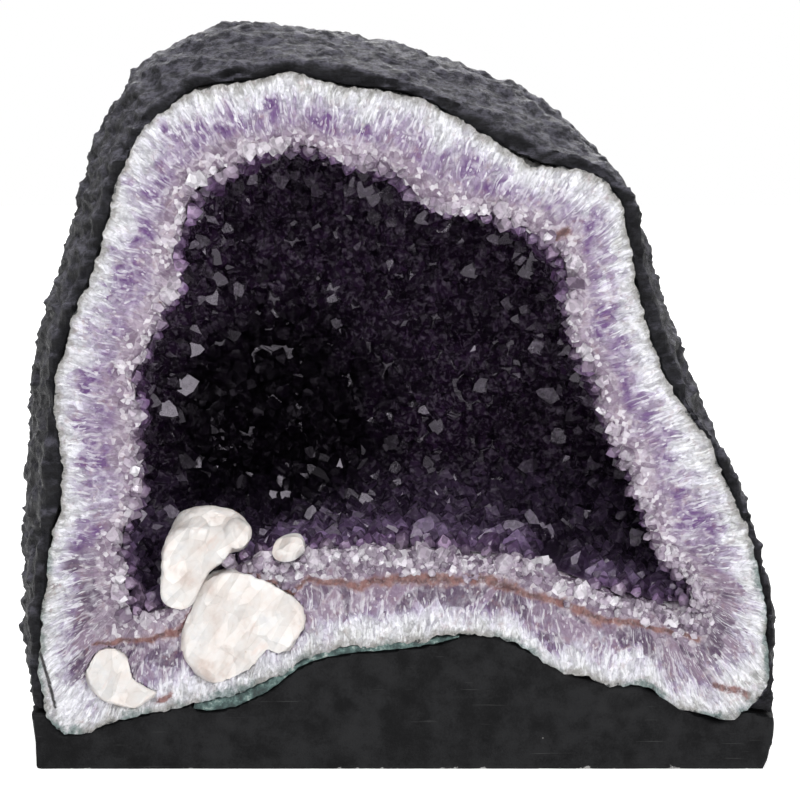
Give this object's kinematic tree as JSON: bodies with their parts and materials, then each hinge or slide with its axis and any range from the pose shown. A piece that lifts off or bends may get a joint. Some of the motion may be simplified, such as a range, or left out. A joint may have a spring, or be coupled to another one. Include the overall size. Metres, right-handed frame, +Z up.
{
  "type": "amethyst geode with cut base",
  "caption": "Hollow dome of dark rock lined with quartz and purple crystals, sawn open at the front and standing on a flat cast foot.",
  "frame": {"origin": "on the ground, under the middle of the geode's bounding box", "axes": "+Z up, +X to the right of the open face, +Y back into the cavity; the sawn face looks towards -Y"},
  "size_m": [0.3416, 0.192, 0.3269],
  "materials": {
    "cement": "matte",
    "basalt": "matte",
    "celadonite": "matte",
    "quartz": "gloss",
    "amethyst": "gloss",
    "calcite": "satin"
  },
  "bodies": {
    "root": {"cement_base": "cement", "basalt_rind": "basalt", "celadonite_seam": "celadonite", "quartz_lining": "quartz", "amethyst_druse": "amethyst", "calcite_block": "calcite", "calcite_nodule": "calcite", "calcite_wedge": "calcite", "calcite_chip": "calcite", "pocket_crystal": "amethyst"}
  },
  "joints": []
}
